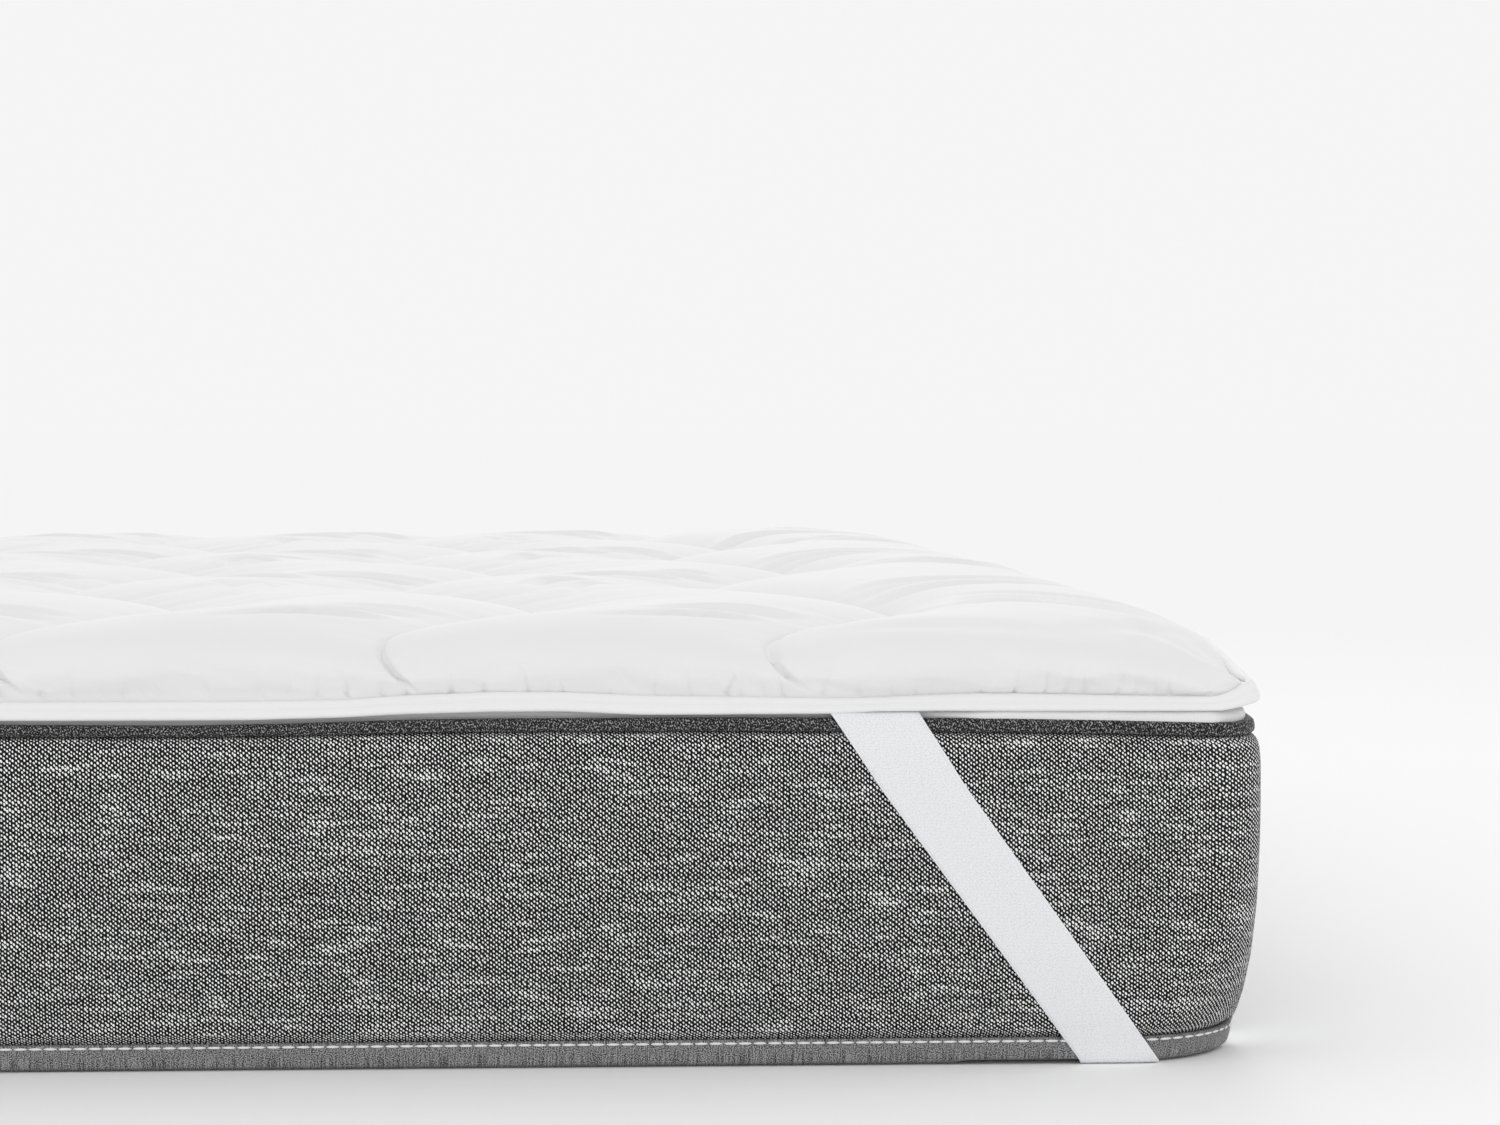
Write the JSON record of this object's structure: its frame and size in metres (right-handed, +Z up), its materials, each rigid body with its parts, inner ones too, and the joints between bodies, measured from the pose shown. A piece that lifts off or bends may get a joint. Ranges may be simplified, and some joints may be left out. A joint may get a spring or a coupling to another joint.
{
  "type": "mattress topper on a mattress",
  "caption": "Thick quilted topper with wave-stitched channels and an edge binding, held by elastic corner straps on a plain taped mattress.",
  "frame": {"origin": "centre of the bounding box at the floor, under the middle of the mattress", "axes": "+X across the width of the bed, +Y along its length towards the far end, +Z up; the end in the picture faces -Y"},
  "size_m": [1.5376, 2.0456, 0.331],
  "materials": {
    "quilted_cotton": "matt white closely woven cotton",
    "edge_binding": "matt white folded binding tape",
    "ribbed_elastic": "cool white ribbed elastic webbing",
    "heather_border": "coarse black and white heather weave",
    "knit_panel": "matt white knitted cover",
    "charcoal_tape": "dark charcoal twill tape",
    "grey_tape": "mid-grey plain woven tape"
  },
  "bodies": {
    "root": {"topper": "quilted_cotton", "topper_binding": "edge_binding", "strap_front_right": "ribbed_elastic", "strap_front_left": "ribbed_elastic", "strap_back_right": "ribbed_elastic", "strap_back_left": "ribbed_elastic", "mattress": "heather_border", "mattress_top_panel": "knit_panel", "mattress_top_tape": "charcoal_tape", "mattress_bottom_tape": "grey_tape"}
  },
  "joints": []
}
